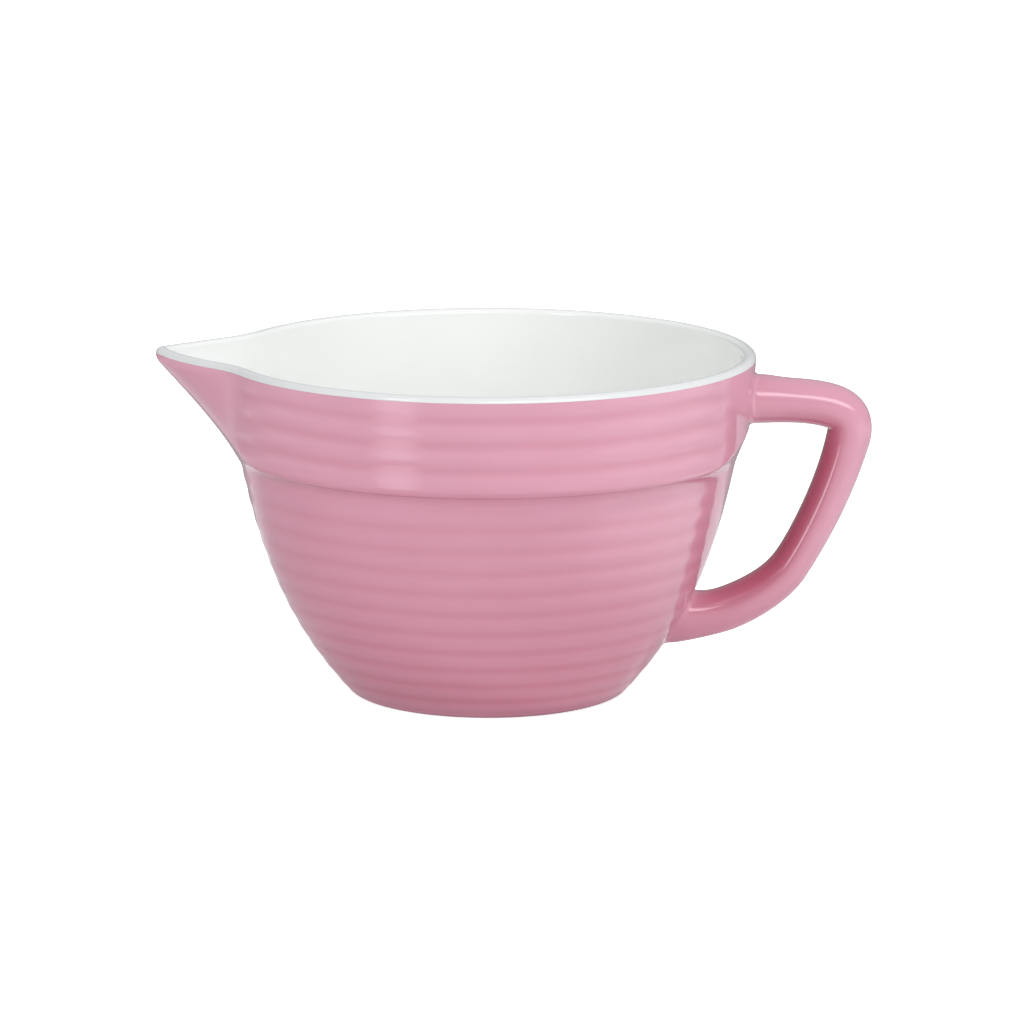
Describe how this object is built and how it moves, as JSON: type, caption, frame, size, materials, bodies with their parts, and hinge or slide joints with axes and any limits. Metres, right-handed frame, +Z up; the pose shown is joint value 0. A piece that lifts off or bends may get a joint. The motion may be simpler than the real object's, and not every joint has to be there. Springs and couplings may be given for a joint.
{
  "type": "soup bowl with handle",
  "caption": "Glazed ceramic soup bowl with a ribbed collar, a beak-shaped pouring spout and an ear handle, white inside and over the rim and pink outside.",
  "frame": {"origin": "on the table, under the middle of the whole object's box", "axes": "+X along the bowl towards the handle, with the spout towards -X, and +Z up"},
  "size_m": [0.1876, 0.1402, 0.0911],
  "materials": {
    "pink_glaze": "glossy pink glaze, a little deeper in the grooves and towards the foot",
    "white_glaze": "glossy white glaze"
  },
  "bodies": {
    "root": {"bowl_body": "pink_glaze", "white_liner": "white_glaze", "handle": "pink_glaze", "upper_slip_joint": "pink_glaze", "lower_slip_joint": "pink_glaze"}
  },
  "joints": []
}
